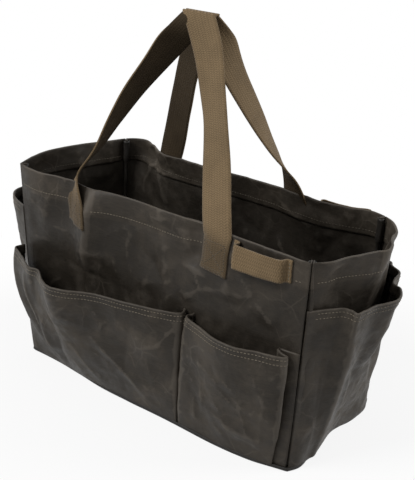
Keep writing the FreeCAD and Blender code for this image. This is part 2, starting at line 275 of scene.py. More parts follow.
def stitches(name, lines, material):
    # each line is (points, normals, painted shade); one small bent capsule for each stitch
    pitch, length, radius = stitch["pitch"], stitch["length"], stitch["radius"]
    sides, sections = stitch["sides"], stitch["sections"]
    t = np.linspace(0, 1, sections)
    rise = ((np.sin(math.pi * t) ** 0.5 - 0.75) * radius * 1.3)[:, None]
    swell = (0.45 + 0.55 * np.sin(math.pi * np.clip(t, 0.03, 0.97)) ** 0.5) * radius
    turns = 2 * math.pi * np.arange(sides) / sides
    around, upward = [(swell[:, None] * wave(turns))[..., None] for wave in (np.cos, np.sin)]
    capsule = [[s * sides + k, s * sides + (k + 1) % sides,
                (s + 1) * sides + (k + 1) % sides, (s + 1) * sides + k]
               for s in range(sections - 1) for k in range(sides)]
    capsule += [list(range(sides))[::-1], [(sections - 1) * sides + k for k in range(sides)]]
    points, faces, paintedShade = [], [], []
    for line, normals, *mark in lines:
        run = runAlong(line)
        count = max(int(run[-1] / pitch), 1)
        for k in range(count):
            begin = (run[-1] - count * pitch) / 2 + k * pitch + (pitch - length) / 2
            place = np.clip(begin + t * length, 0, run[-1])
            centre, normal = [np.stack([np.interp(place, run, way[:, axis]) for axis in range(3)], axis=1)
                              for way in (line, normals)]
            normal = unit(normal)
            sideways = unit(np.cross(unit(centre[-1] - centre[0]), normal))
            rings = (centre + normal * rise)[:, None] + around * sideways[:, None] + upward * normal[:, None]
            faces += [[len(points) + corner for corner in face] for face in capsule]
            points += list(rings.reshape(-1, 3))
            paintedShade += [mark[0] if mark else 0.0] * (sides * sections)
    piece = meshPiece(name, points, faces, [material], np.array(points)[:, :2])
    # the third value of a line is painted shade, which darkens its stitches
    paintPoints(piece.data, "paintedShade", paintedShade)
    return piece


# node groups that several finishes share

def nodeGroup(name, inputs, outputs):
    # the Colour sockets hold colours, the others numbers
    group = bpy.data.node_groups.new(name, "ShaderNodeTree")
    for way, titles in (("INPUT", inputs), ("OUTPUT", outputs)):
        for title in titles:
            kind = "NodeSocketColor" if title == "Colour" else "NodeSocketFloat"
            socket = group.interface.new_socket(title, in_out=way, socket_type=kind)
            if way == "INPUT":
                socket.default_value = inputs[title]
    return group, group.nodes.new("NodeGroupInput"), group.nodes.new("NodeGroupOutput")


def node(tree, kind, links=None, **settings):
    made = tree.nodes.new(kind)
    for key, value in settings.items():
        setattr(made, key, value)
    for key, value in (links or {}).items():
        if isinstance(value, bpy.types.NodeSocket):
            tree.links.new(value, made.inputs[key])
        else:
            made.inputs[key].default_value = value
    return made


def calc(tree, operation, a, b=0.5, c=0.5):
    return node(tree, "ShaderNodeMath", {0: a, 1: b, 2: c}, operation=operation).outputs[0]


def sums(tree):
    return [partial(calc, tree, operation) for operation in ("MULTIPLY", "ADD", "MULTIPLY_ADD")]


def spread(tree, value, low, high, toLow=0.0, toHigh=1.0):
    return node(tree, "ShaderNodeMapRange", {0: value, 1: low, 2: high, 3: toLow, 4: toHigh},
                interpolation_type="SMOOTHSTEP").outputs[0]


def mixColour(tree, share, a, b):
    return node(tree, "ShaderNodeMix", {0: share, 6: a, 7: b}, data_type="RGBA").outputs[2]


def shaded(tree, colour, value, saturation=1.0):
    return node(tree, "ShaderNodeHueSaturation",
                {"Color": colour, "Saturation": saturation, "Value": value}).outputs[0]


def noise(tree, where, scale, detail=3.0, roughness=0.55):
    return node(tree, "ShaderNodeTexNoise", {"Vector": where, "Scale": scale, "Detail": detail,
                                             "Roughness": roughness}).outputs[0]


def surfaceOf(tree, mark):
    # the place in space, the place on the flat cloth with its two lengths, and a mark on the mesh
    flat = node(tree, "ShaderNodeUVMap", uv_map="flat").outputs[0]
    split = node(tree, "ShaderNodeSeparateXYZ", {0: flat})
    return (node(tree, "ShaderNodeNewGeometry").outputs["Position"], flat, split.outputs[0], split.outputs[1],
            node(tree, "ShaderNodeAttribute", attribute_name=mark).outputs["Fac"])


# in metres: the pitch of the threads, the height of each kind of relief, where the hem begins
waxed = {"pitch": 0.0011, "weave": 0.000035, "slub": 0.00006, "rumple": 0.0009, "crackle": 0.00022,
         "hemLow": 0.2105, "hemHigh": 0.2135}


def waxedCanvasGroup():
    # waxed cotton: plain weave, chalky bloom in patches, pale crackle lines, polished wear
    group, given, out = nodeGroup(
        "waxedCanvas", {"Colour": (0.04, 0.035, 0.028, 1), "Bloom": 0.5, "Crackle": 0.5, "Wear": 0.5,
                        "Hem": 0.0}, ["Colour", "Roughness", "Height"])
    times, plus, timesPlus = sums(group)
    place, flat, across, along, wearAndShade = surfaceOf(group, "wear")
    warp, weft = [calc(group, "SINE", times(way, 2 * math.pi / waxed["pitch"])) for way in (across, along)]
    weave = times(warp, weft)
    slub = noise(group, node(group, "ShaderNodeMapping", {0: flat, 3: (90, 900, 1)}).outputs[0], 1.0, 2.0)
    blotch = spread(group, noise(group, place, 17.0, 6.0, 0.66), 0.43, 0.66)
    cloudy = spread(group, noise(group, place, 70.0, 7.0, 0.75), 0.40, 0.70)
    bloom = times(times(timesPlus(cloudy, 0.7, 0.3), blotch), given.outputs["Bloom"])
    shifted = node(group, "ShaderNodeVectorMath", {0: place, 1: node(group, "ShaderNodeVectorMath", {
        0: node(group, "ShaderNodeTexNoise", {"Vector": place, "Scale": 26.0, "Detail": 4.0}).outputs[1],
        1: (0.022, 0.022, 0.022)}, operation="MULTIPLY").outputs[0]}, operation="ADD").outputs[0]
    cracks = node(group, "ShaderNodeTexVoronoi", {"Vector": shifted, "Scale": 34.0},
                  feature="DISTANCE_TO_EDGE").outputs["Distance"]
    patch = spread(group, noise(group, place, 19.0, 2.0), 0.46, 0.66)
    line = times(times(spread(group, cracks, 0.0, 0.05, 1.0, 0.0), patch), given.outputs["Crackle"])
    rub = spread(group, plus(wearAndShade, timesPlus(cloudy, 0.3, -0.2)), 0.12, 0.75)
    rub = times(rub, given.outputs["Wear"])
    pale = calc(group, "MINIMUM", plus(plus(bloom, line), rub), 1.0)
    deep = shaded(group, given.outputs["Colour"], timesPlus(slub, 0.9, timesPlus(blotch, 0.4, 0.3)))
    chalk = shaded(group, given.outputs["Colour"], 2.6, 0.82)
    shade = shaded(group, mixColour(group, pale, deep, chalk), timesPlus(weave, 0.12, 1.0))
    # the outside of the body is paler over the doubled cloth of its hem, all along
    height = node(group, "ShaderNodeSeparateXYZ", {0: place}).outputs[2]
    band = times(spread(group, height, waxed["hemLow"], waxed["hemHigh"]), given.outputs["Hem"])
    group.links.new(shaded(group, shade, plus(band, 1.0)), out.inputs["Colour"])
    group.links.new(timesPlus(bloom, 0.22, timesPlus(cloudy, 0.16, 0.46)), out.inputs["Roughness"])
    fine = timesPlus(weave, waxed["weave"], times(slub, waxed["slub"]))
    rumple = times(noise(group, place, 75.0, 5.0, 0.6), waxed["rumple"])
    group.links.new(plus(plus(fine, rumple), times(line, waxed["crackle"])), out.inputs["Height"])
    return group


# in metres: the width of a rib's zigzag and how far it rises, the pitch of the ribs, and the relief
woven = {"zigzag": 0.0038, "slant": 0.0021, "rib": 0.0024, "weave": 0.00022, "fuzz": 0.00012}


def webbingGroup():
    # heavy cotton webbing: fine ribs in a herringbone, darker where it was handled, and darker still with
    # painted shade where the mesh is marked
    group, given, out = nodeGroup(
        "woveWebbing", {"Colour": (0.17, 0.13, 0.08, 1), "Soil": 0.5}, ["Colour", "Height"])
    times, plus, timesPlus = sums(group)
    place, flat, across, along, wearAndShade = surfaceOf(group, "paintedShade")
    zigzag = calc(group, "PINGPONG", times(across, 1 / woven["zigzag"]), 1.0)
    rib = calc(group, "SINE", times(timesPlus(zigzag, woven["slant"], along), 2 * math.pi / woven["rib"]))
    valley = calc(group, "COSINE", times(across, 2 * math.pi / woven["zigzag"]))
    weave = timesPlus(rib, 0.7, times(valley, 0.3))
    cloudy = noise(group, place, 38.0, 5.0, 0.6)
    fuzz = noise(group, flat, 700.0, 2.0)
    soil = times(spread(group, cloudy, 0.35, 0.7), given.outputs["Soil"])
    dim = timesPlus(soil, -0.4, timesPlus(weave, 0.24, timesPlus(fuzz, 0.36, 0.86)))
    # painted shade: the marked sewn ends and inside stitches are darkened
    dim = times(dim, timesPlus(wearAndShade, -0.52, 1.0))
    group.links.new(shaded(group, given.outputs["Colour"], dim), out.inputs["Colour"])
    group.links.new(timesPlus(weave, woven["weave"], times(fuzz, woven["fuzz"])), out.inputs["Height"])
    return group


def emptyMaterial(name):
    material = bpy.data.materials.new(name)
    material.use_nodes = True
    material.node_tree.nodes.clear()
    return material, material.node_tree


def cloth(name, group, values, specular, roughness=None, bump=0.5, sheen=0.0):
    material, tree = emptyMaterial(name)
    effect = node(tree, "ShaderNodeGroup", node_tree=group)
    for key, value in values.items():
        effect.inputs[key].default_value = value
    given = effect.outputs
    relief = node(tree, "ShaderNodeBump", {"Strength": bump, "Distance": 1.0, "Height": given["Height"]})
    shader = node(tree, "ShaderNodeBsdfPrincipled", {
        "Base Color": given["Colour"], "Normal": relief.outputs[0], "Specular IOR Level": specular,
        "Roughness": given["Roughness"] if roughness is None else roughness, "Sheen Weight": sheen})
    node(tree, "ShaderNodeOutputMaterial", {0: shader.outputs[0]})
    return material


finish = {
    "canvas": (0.0265, 0.0214, 0.0158, 1), "inside": (0.027, 0.0223, 0.017, 1),
    "pocket": (0.037, 0.0303, 0.0228, 1), "tape": (0.012, 0.0100, 0.008, 1),
    # the shaded reverse is painted shade: the tan webbing darkened for the strap's inner face
    "webbing": (0.200, 0.138, 0.074, 1), "reverse": (0.049, 0.035, 0.0205, 1),
    "thread": (0.20, 0.17, 0.128, 1),
}
canvasGroup, webbingWeave = waxedCanvasGroup(), webbingGroup()
canvasOut = cloth("canvasOutside", canvasGroup, {
    "Colour": finish["canvas"], "Bloom": 0.62, "Crackle": 0.4, "Wear": 0.6, "Hem": 0.4}, specular=0.22)
canvasIn = cloth("canvasInside", canvasGroup, {
    "Colour": finish["inside"], "Bloom": 0.4, "Crackle": 0.2, "Wear": 0.5}, specular=0.2)
pocketOut = cloth("pocketCanvas", canvasGroup, {
    "Colour": finish["pocket"], "Bloom": 0.62, "Crackle": 0.42, "Wear": 0.6}, specular=0.22)
tapeCloth = cloth("bindingTape", canvasGroup, {
    "Colour": finish["tape"], "Bloom": 0.1, "Crackle": 0.0, "Wear": 0.3}, specular=0.3)
webbingOut = cloth("webbingFace", webbingWeave, {"Colour": finish["webbing"], "Soil": 0.4},
                   roughness=0.85, bump=0.8, sheen=0.12, specular=0.2)
# painted shade: the inner face of the straps is the tan webbing darkened
webbingShadedBack = cloth("webbingReverseShade", webbingWeave, {"Colour": finish["reverse"], "Soil": 0.5},
                    roughness=0.85, bump=0.8, specular=0.12)
threadFinish = cloth("sewingThread", webbingWeave, {"Colour": finish["thread"], "Soil": 0.3},
                     roughness=0.7, bump=0.2, specular=0.3)
print("finishes made")

# where each side of the bag runs, seen from above, at the foot and at the rim
outline = {
    "rim": {
        "front": [(-206, -77), (-190, -82), (-166, -84), (-140, -79), (-120, -76), (-96, -80), (-60, -75),
                  (-20, -74), (26, -77), (61, -79), (100, -80), (150, -82), (185, -85), (197, -84)],
        "right": [(197, -84), (210, -70), (217, -45), (230, -17), (237, -6), (224, 28), (221, 41),
                  (206, 64), (193, 73)],
        "back": [(193, 73), (175, 76), (149, 66), (118, 62), (85, 64), (30, 67), (-30, 69), (-80, 68),
                 (-108, 68), (-128, 78), (-145, 90), (-160, 97), (-175, 92), (-184, 83)],
        "left": [(-184, 83), (-192, 62), (-203, 35), (-212, 8), (-217, -22), (-214, -50), (-206, -77)]},
    "base": {
        "front": [(-184, -81), (-143, -82), (-100, -86), (-57, -91), (40, -92), (110, -94), (150, -91),
                  (190, -82)],
        "right": [(190, -82), (195, -70), (193, -48), (187, 7), (194, 39), (195, 56), (190, 86)],
        "back": [(190, 86), (120, 88), (0, 88), (-120, 86), (-186, 82)],
        "left": [(-186, 82), (-192, 50), (-190, 0), (-188, -40), (-184, -81)]},
    # places that the straight run from foot to rim misses: (level, place along, reach, change outwards)
    "slack": {"right": [(187, -70, 16, -6.5), (187, -45, 18, -5), (187, -5, 20, -3)]},
}


def seamEnds(curve, before, after):
    # at each end the cloth turns in and lies against its neighbour, as a sewn corner does
    points = [np.array(p, float) for p in curve]
    ends = []
    for tip, own, other in ((points[0], points[1] - points[0], np.array(before, float) - points[0]),
                            (points[-1], points[-2] - points[-1], np.array(after, float) - points[-1])):
        own, other = own / np.linalg.norm(own), other / np.linalg.norm(other)
        inward = own + other
        inward /= np.linalg.norm(inward)
        side = own - inward * float(own @ inward)
        side /= np.linalg.norm(side)
        ends.append([tip + inward * 0.3 + side * 0.85, tip + inward * 2.0 + side * 0.68,
                     tip + inward * bag["allowance"] + side * 0.68])
    first, last = ends
    body = [points[0] * 0.9 + points[1] * 0.1] + points[1:-1] + [points[-1] * 0.9 + points[-2] * 0.1]
    return first[::-1] + body + last


panelShapes = {
    "front": {
        "axis": 0, "columns": 158, "rough": 1.5, "seed": 40,
        "ridges": [
            (15, 23, -84, 241, -84, 200, -88, 140), (4.5, 22, 104, 236, 105, 200, 104, 170),
            (-3, 14, -30, 196, 4, 176, 30, 150), (2.6, 9, 69, 171, 100, 181, 137, 182),
            (2.4, 8, 137, 182, 150, 172, 164, 160), (1.6, 8, 120, 205, 137, 182),
            (2.6, 9, 48, 151, 70, 172, 60, 190), (2.5, 14, -190, 205, -150, 190),
            (1.8, 10, -20, 150, 20, 160, 44, 176)],
        "dents": [
            (-4, 20, -128, 238, -130, 180), (-9, 13, 60, 242, 58, 190), (-5, 16, 55, 158, 54, 60),
            (-1.2, 8, -60, 214, -20, 216, 30, 212), (-2.5, 16, -178, 212, -170, 160),
            (0.8, 26, 10, 240, 12, 228)]},
    "right": {
        "axis": 1, "columns": 84, "rough": 1.3, "seed": 60,
        "ridges": [
            (-2.5, 10, -58, 232, -52, 190), (3, 16, -20, 236, -14, 190)],
        "dents": [
            (-3, 14, 35, 236, 26, 190), (3, 22, -6, 120, -4, 30)]},
    "back": {
        "axis": 0, "columns": 158, "rough": 1.8, "seed": 80,
        "ridges": [
            (6, 7, -142, 240, -136, 226, -133, 216), (-4, 6, -166, 214, -146, 209, -134, 217),
            (-5, 8, -138, 215, -157, 188, -160, 160), (-4, 8, -124, 217, -111, 192, -104, 172),
            (2.5, 8, -134, 217, -100, 222, -70, 214), (3.5, 14, -20, 200, 40, 170),
            (-3, 10, 60, 225, 110, 205), (-3, 10, 0, 210, -40, 160), (3.5, 12, 150, 210, 120, 170, 128, 130),
            (-3, 9, 60, 180, 90, 140)],
        "dents": [
            (3, 22, -150, 236, -146, 120), (-3.5, 22, 120, 230, 100, 130)]},
    "left": {
        "axis": 1, "columns": 84, "rough": 1.5, "seed": 100,
        "ridges": [
            (-4, 14, 20, 236, 28, 180), (2.5, 9, -20, 200, 10, 170)],
        "dents": [
            (3, 18, -40, 232, -30, 160), (3, 22, 0, 120, 4, 30)]},
}


def panelGrid(side):
    shape, seam, fine = panelShapes[side], bag["seamColumns"], 1400
    rough, seed = shape["rough"], shape["seed"]
    place = sideOrder.index(side)
    before, after = sideOrder[place - 1], sideOrder[(place + 1) % 4]
    rows = []
    for level in ("base", "rim"):
        curves = outline[level]
        dense = smoothRow(seamEnds(curves[side], curves[before][-2], curves[after][1]), fine)
        edge = bag["seamReach"] / np.sum(np.linalg.norm(np.diff(dense, axis=0), axis=1))
        middle = np.linspace(edge, 1 - edge, shape["columns"] - 2 * seam + 2)[1:-1]
        shares = np.concatenate([np.linspace(0, edge, seam), middle, np.linspace(1 - edge, 1, seam)])
        rows.append(np.stack([np.interp(shares * (fine - 1), np.arange(fine), dense[:, k])
                              for k in (0, 1)], axis=1))
    # the cloth runs straight from the foot to the rim before it gets its folds
    top = bag["height"] - 0.8
    zs = np.linspace(bag["foot"], top, round(top / bag["cell"]) + 1)[:, None, None]
    t = (zs - bag["foot"]) / (bag["height"] - bag["foot"])
    grid = np.concatenate([rows[0] * (1 - t) + rows[1] * t,
                           np.broadcast_to(zs, (len(zs), shape["columns"], 1))], axis=2)
    along, z = grid[:, :, shape["axis"]], grid[:, :, 2]
    low, high = along[:, seam - 1][:, None], along[:, -seam][:, None]
    slack = sum(change * np.exp(-((along - place) / reach) ** 2 - ((z - level) / 42) ** 2)
                for level, place, reach, change in outline["slack"].get(side, []))
    share = (along - low) / (high - low)
    hold = within(share * 9) * within((1 - share) * 9)
    hold = hold * within(z / 26)
    rise = foldHeight(along, z, shape) * within(share * 30) * within((1 - share) * 30)
    rise = rise + (crumple(along, z, 46, seed) * rough + softNoise(along, z, 90, seed + 9) * rough * 1.4
                   + crumple(along, z, 17, seed + 3) * rough * 0.22) * hold
    return grid + normalsOf(grid) * (rise + slack)[..., None]


panels = {}
for side in sideOrder:
    grid = panelGrid(side)
    axis = panelShapes[side]["axis"]
    panels[side] = Cloth(grid, axis)
    nodeName = side + ("_end_panel" if axis else "_panel")
    piece = thickCloth(nodeName + "_cloth", withHem(grid, bag["rimHem"], bag["seamColumns"]), bag["canvas"],
                       [canvasOut, canvasIn], calm=bag["seamColumns"] + 1)
    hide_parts(nodeName)
    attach(piece, "bag")
print("panels made")


def baseLoop(count, grow):
    loop = np.concatenate([smoothRow(outline["base"][side], int(count * part))[:-1]
                           for side, part in zip(sideOrder, (0.34, 0.16, 0.34, 0.16))])
    tangent = unit(np.roll(loop, -1, axis=0) - np.roll(loop, 1, axis=0))
    return loop + np.stack([tangent[:, 1], -tangent[:, 0]], axis=1) * grow


# pulled is the number of columns that follow the curve of each end
bottom = {"rows": 48, "columns": 100, "pulled": 30, "inset": 0.999, "height": 0.75}


def basePiece():
    outlineBase, columns, pulled = outline["base"], bottom["columns"], bottom["pulled"]
    front, back = smoothRow(outlineBase["front"], columns), smoothRow(outlineBase["back"][::-1], columns)
    shares = np.linspace(0.001, 0.999, bottom["rows"])[:, None, None]
    grid = np.zeros((bottom["rows"], columns, 3))
    grid[:, :, :2] = front[None] * (1 - shares) + back[None] * shares
    for column, step, line in ((0, 1, outlineBase["left"][::-1]), (-1, -1, outlineBase["right"])):
        pull = smoothRow(line, bottom["rows"]) - grid[:, column, :2]
        for k, weight in enumerate(np.linspace(1, 0, pulled)):
            grid[:, column + k * step, :2] += pull * weight**2
    grid[:, :, :2] *= bottom["inset"]
    x, y = grid[:, :, 0], grid[:, :, 1]
    lift = 0.9 + 0.9 * (crumple(x, y, 60, 77) + softNoise(x, y, 25, 78) + 1.6)
    middle = within((90 - np.abs(y)) / 20) * within((190 - np.abs(x)) / 20)
    grid[:, :, 2] = bottom["height"] + lift * middle
    piece = thickCloth("bottom_cloth", grid, bag["canvas"], [canvasIn, canvasOut])
    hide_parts("bottom_panel")
    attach(piece, "bag")


footTape = {"columns": 620, "turns": 14, "out": 2.0, "halfWidth": 1.9, "middle": 2.45, "halfHeight": 2.2}


def seamTape():
    # a folded tape round the foot: two lips over the raw edges, with a slight ripple
    length, rows = len(baseLoop(footTape["columns"], 0)), footTape["turns"]
    around = np.arange(length) * 0.62
    ripple = softNoise(around, around * 0.0, 7, 12) * 0.5 + softNoise(around, around * 0.0, 23, 13) * 0.6
    grid = np.zeros((rows, length, 3))
    for k, turn in enumerate(np.linspace(0, 2 * math.pi, rows + 1)[:-1]):
        reach, rise = [half * np.sign(bend) * abs(bend) ** 0.6 for half, bend in (
            (footTape["halfWidth"], math.cos(turn)), (footTape["halfHeight"], math.sin(turn)))]
        height = footTape["middle"] + rise
        grid[k, :, :2] = baseLoop(footTape["columns"], reach + footTape["out"])
        grid[k, :, 2] = np.maximum(height + ripple * (0.5 + height / 5) * 0.6, 0.12)
    faces = [[k * length + j, k * length + (j + 1) % length, ((k + 1) % rows) * length + (j + 1) % length,
              ((k + 1) % rows) * length + j] for k in range(rows) for j in range(length)]
    flat = np.stack(np.meshgrid(np.arange(length) * 1.8, np.arange(rows) * 1.0), axis=-1).reshape(-1, 2)
    piece = meshPiece("bottom_binding", grid.reshape(-1, 3), faces, [tapeCloth], flat, wear=np.zeros(len(flat)))
    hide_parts("bottom_seam_tape")
    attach(piece, "bag")


cornerTape = {"rows": 90, "turns": 13, "low": 5.0, "belowRim": 1.5, "stand": 3.2, "reach": 5.6,
              "halfWidth": 1.9, "thick": 0.7}
cornerNames = {"front": "front_left", "right": "front_right", "back": "back_right", "left": "back_left"}


def cornerTapes():
    # bound seam allowances that stand in each corner
    rows, turns = cornerTape["rows"], np.linspace(-1, 1, cornerTape["turns"])
    for number, side in enumerate(sideOrder):
        ribs = []
        for level, z in (("base", cornerTape["low"]), ("rim", bag["height"] - cornerTape["belowRim"])):
            tip = np.array(outline[level][side][0], float)
            own = unit(np.array(outline[level][side][1], float) - tip)
            inward = unit(own + unit(np.array(outline[level][sideOrder[number - 1]][-2], float) - tip))
            ribs.append((tip, inward, unit(own - inward * float(own @ inward)), z))
        grid = np.zeros((rows, len(turns), 3))
        for r in range(rows):
            t = r / (rows - 1)
            tip, inward, across, z = [low * (1 - t) + high * t for low, high in zip(*ribs)]
            inward, across = unit(inward), unit(across)
            hem = 1 + 0.9 * (z > bag["height"] - bag["rimHem"])
            waver = 0.5 * math.sin(z * 0.21) + 0.4 * math.sin(z * 0.083 + 1)
            for c, turn in enumerate(turns):
                angle = turn * math.pi / 2
                reach = cornerTape["stand"] + (cornerTape["reach"] * abs(math.cos(angle)) ** 0.35)
                half = cornerTape["halfWidth"] * hem * math.sin(angle) * (1 if abs(turn) < 0.99 else 0.9)
                grid[r, c] = (*(tip + inward * (reach + waver) + across * half), z)
        piece = thickCloth("corner_binding_" + cornerNames[side], grid, cornerTape["thick"], [tapeCloth])
        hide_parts("corner_tape_" + cornerNames[side])
        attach(piece, "bag")


basePiece()
seamTape()
cornerTapes()
print("base and bindings made")

# Each place of a pocket's line gives x and y at the mouth, at half height and at the foot.
# sewnFrom is the column where the stitching begins.
frontPocket = {
    "mouth": 140.0, "axis": 0, "count": 240, "sewnFrom": 8,
    "line": [
        (-197, -83, -193, -84, -185, -83.5), (-200, -95, -188, -97, -133, -85.6),
        (-186, -103, -178, -101, -131, -86), (-171, -111, -165, -105, -128, -86.4),
        (-147, -123, -144, -110, -124, -86.8), (-135, -121, -138, -113, -119, -87.2),
        (-112, -135, -118, -117, -110, -87.6), (-96, -143, -103, -121, -99, -88.6),
        (-79, -141, -82, -120, -80, -90.6), (-60, -129, -58, -116, -57, -92.8),
        (-36, -121, -36, -112, -38, -93.2), (-2, -114, -4, -107, -6, -93.4), (15, -110, 14, -105, 12, -93.6),
        (32, -104, 31, -102, 30, -93.8), (53, -94, 52, -97, 51.5, -94.2), (51, -86, 51, -92, 50.6, -93.5),
        (45, -80, 50, -89, 51.5, -93.3), (50, -77.5, 54, -88, 54, -93.2), (59, -79, 59, -89, 57, -93.4),
        (64.5, -86, 59, -92, 57.2, -93.8), (62, -95, 59, -98, 57, -94.3), (88, -107, 87, -103, 86, -95.2),
        (114, -116, 112, -109, 110, -95.9), (133, -117, 131, -109, 130, -94.6),
        (155, -111, 152, -105, 150, -92.8), (180, -103, 177, -98, 168, -90.2),
        (187, -97, 183, -94, 175, -88.4), (178, -92.5, 174, -90.5, 168, -88),
        (172, -88.2, 169, -88.2, 164, -87.8), (179, -87.4, 176, -87.6, 172, -86.6),
        (194, -85.6, 193, -85, 189, -84)],
    "ridges": [
        (5, 7, -168, 126, -150, 80, -134, 40, -126, 10), (-4, 8, -186, 120, -176, 80, -150, 44, -130, 14),
        (-3, 9, -120, 110, -112, 60, -116, 14), (2.4, 7, -90, 62, -60, 14),
        (-2.6, 12, -10, 128, -40, 92, -96, 74), (2.4, 10, 52, 130, 30, 96, -4, 84),
        (-2.5, 12, -130, 128, -100, 100), (3, 9, -60, 84, -20, 50, 20, 14),
        (-2, 8, -100, 60, -60, 66, -20, 50), (-1.6, 8, 0, 120, -14, 60, -20, 10), (1.8, 5, 80, 60, 80, 20),
        (-2.4, 12, 100, 120, 120, 84, 150, 60), (1.8, 9, 96, 52, 130, 34, 166, 28),
        (2, 10, 150, 130, 168, 80, 160, 20), (1.6, 5, 90, 110, 92, 30), (1.8, 5, 140, 76, 150, 30)],
    "dents": [
        (2, 14, -96, 136, -92, 90)],
}
rightPocket = {
    "mouth": 187.0, "axis": 1, "count": 130, "sewnFrom": 5,
    "line": [
        (197, -83, 194, -82, 191.5, -82.5), (203, -73, 198.5, -73, 196.8, -74),
        (214, -58, 206, -60, 197.8, -64), (219, -52, 208, -56, 198, -58), (227, -51, 213, -50, 198.5, -52),
        (235, -53, 219, -42, 200, -46), (237, -42, 217, -32, 198, -36), (239, -24, 215, -14, 194.5, -18),
        (250, 1, 218, 3, 191, 4), (241, 27, 217, 27, 194, 24), (231, 32, 214, 36, 197, 40),
        (223, 62, 212, 60, 199, 60), (209, 72, 203, 72, 198, 72), (203, 80, 198, 80, 195, 80),
        (193.2, 77, 192, 82, 190, 85.6)],
    "ridges": [
        (3, 8, -46, 150, -20, 96, -8, 40), (-3, 9, -30, 120, 10, 70), (3.5, 12, 8, 170, 6, 100),
        (-3, 12, 30, 160, 40, 90), (-2, 7, -64, 150, -60, 60), (2.5, 9, 20, 90, 50, 40)],
}
leftPocket = {
    "mouth": 187.0, "axis": 1, "count": 130, "sewnFrom": 5,
    "line": [
        (-185.8, 83.2, -186, 83.2, -186.6, 82.8), (-197, 76, -193, 79, -189, 78),
        (-205, 66, -200, 68, -191, 70), (-214, 54, -206, 56, -193.6, 58), (-226, 44, -212, 44, -194, 44),
        (-238, 28, -217, 28, -193.6, 28), (-240, 6, -219, 6, -192.4, 4), (-246, -16, -222, -16, -191.6, -18),
        (-250, -36, -225, -36, -190.6, -38), (-248, -50, -224, -50, -190, -50),
        (-234, -63, -217, -62, -189.4, -62), (-216, -72, -204, -72, -187.8, -74),
        (-201, -78.6, -192.8, -79.9, -185, -81.2)],
    "ridges": [
        (3, 8, -46, 150, -24, 96, -12, 40), (3, 12, 10, 170, 6, 100), (-3, 10, 40, 150, 30, 70),
        (2.5, 9, -20, 90, 30, 40)],
}
pocketPlaces = {"front_pocket": (frontPocket, 1.5, 210), "back_pocket": (frontPocket, 1.7, 260),
                "right_end_pocket": (rightPocket, 1.2, 310), "left_end_pocket": (leftPocket, 1.3, 360)}


def sideY(side, x, z):
    # where the outline puts a side panel, before its folds
    levels = []
    for level in ("base", "rim"):
        line = np.array(sorted(outline[level][side]), float)
        levels.append(np.interp(x, line[:, 0], line[:, 1]))
    return levels[0] + (levels[1] - levels[0]) * z / bag["height"]


def pocketGrid(shape, rough, seed, atBack):
    lines, top = np.array(shape["line"], float), shape["mouth"]
    if atBack:
        # the same pocket on the other side, as far from its own panel, and a little shorter
        for k, z in ((0, top), (2, top / 2), (4, 0.0)):
            lines[:, k + 1] = sideY("back", lines[:, k], z) + sideY("front", lines[:, k], z) - lines[:, k + 1]
        for k in (0, 2, 4):
            x = lines[:, k]
            x[x < -150] = -150 + (x[x < -150] + 150) * 0.77
            x[x > 150] = 150 + (x[x > 150] - 150) * 0.95
        lines = lines[::-1]
    rows = smoothRow(lines, shape["count"])
    count = round(top / bag["cell"]) + 1
    grid = np.zeros((count, shape["count"], 3))
    for k, z in enumerate(np.linspace(2.2, top, count)):
        t = z / top
        # a curve through foot, half height and mouth
        foot, half, mouth = (1 - t) * (1 - 2 * t), 4 * t * (1 - t), t * (2 * t - 1)
        grid[k, :, :2] = foot * rows[:, 4:6] + half * rows[:, 2:4] + mouth * rows[:, 0:2]
        grid[k, :, 2] = z
    along, z = grid[:, :, shape["axis"]], grid[:, :, 2]
    share = np.linspace(0, 1, shape["count"])[None]
    hold = within(share * 12) * within((1 - share) * 12) * within(z / 22)
    rise = foldHeight(along, z, shape) * hold
    rise = rise + (crumple(along, z, 40, seed) * rough + softNoise(along, z, 75, seed + 9) * rough
                   + crumple(along, z, 15, seed + 3) * rough * 0.3) * hold
    return grid + normalsOf(grid) * rise[..., None]


pockets = {}
for name, (shape, rough, seed) in pocketPlaces.items():
    grid = pocketGrid(shape, rough, seed, name == "back_pocket")
    pockets[name] = Cloth(grid, shape["axis"])
    piece = thickCloth(name + "_cloth", withHem(grid, bag["pocketHem"]), bag["canvas"], [pocketOut, canvasIn])
    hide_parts(name)
    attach(piece, "bag")
print("pockets made")

# The handles stand in a plane that leans in from the hinge; slant is the length up that plane.
# A handle is sewn on from footZ up to leftTop and rightTop, round x = leftFoot and x = rightFoot.
webbing = {"width": 38.0, "thick": 1.8, "clear": 0.15, "lean": 21.54, "hingeY": 78.1, "hingeZ": 241.2,
           "slant": 207.5, "middle": -8.0, "footZ": 195.0, "leftFoot": -102, "leftTop": 226, "rightFoot": 86,
           "rightTop": 238, "leaveZ": 238.0, "columns": 13, "rowStep": 3.4, "ridgeTurn": 26}
# (slant, x, turn) up the twisted leg and down the plain leg
handleLegs = {
    "front": {
        "twisted": [(5, -114, 50), (12, -111.5, 53), (20, -107.5, 56), (28, -102.5, 58), (40, -95.5, 60),
                    (54, -90, 64), (68, -85.5, 69), (84, -79, 75), (111, -67.5, 84), (130, -57, 89),
                    (149, -46, 95), (172, -34, 108)],
        "plain": [(172, 15, 10), (161, 20.5, 12), (145, 28, 15), (130, 34.5, 18), (109, 44, 21), (85, 53, 18),
                  (60, 62, 12), (36, 70, 10), (20, 76, 9), (8, 81, 6)]},
    "back": {
        "twisted": [(5, -96, 16), (12, -91, 26), (20, -86.5, 36), (31, -80, 46), (42, -73, 53), (55, -67, 59),
                    (80, -57, 70), (104, -47.5, 77), (128, -38.5, 83), (150, -32, 92), (172, -26, 112)],
        "plain": [(172, 8, 14), (150, 20, 22), (125, 32.5, 23), (97, 44.5, 21), (75, 54.5, 20), (50, 65, 18),
                  (32, 72.5, 16), (16, 79, 13), (8, 82, 8)]},
}


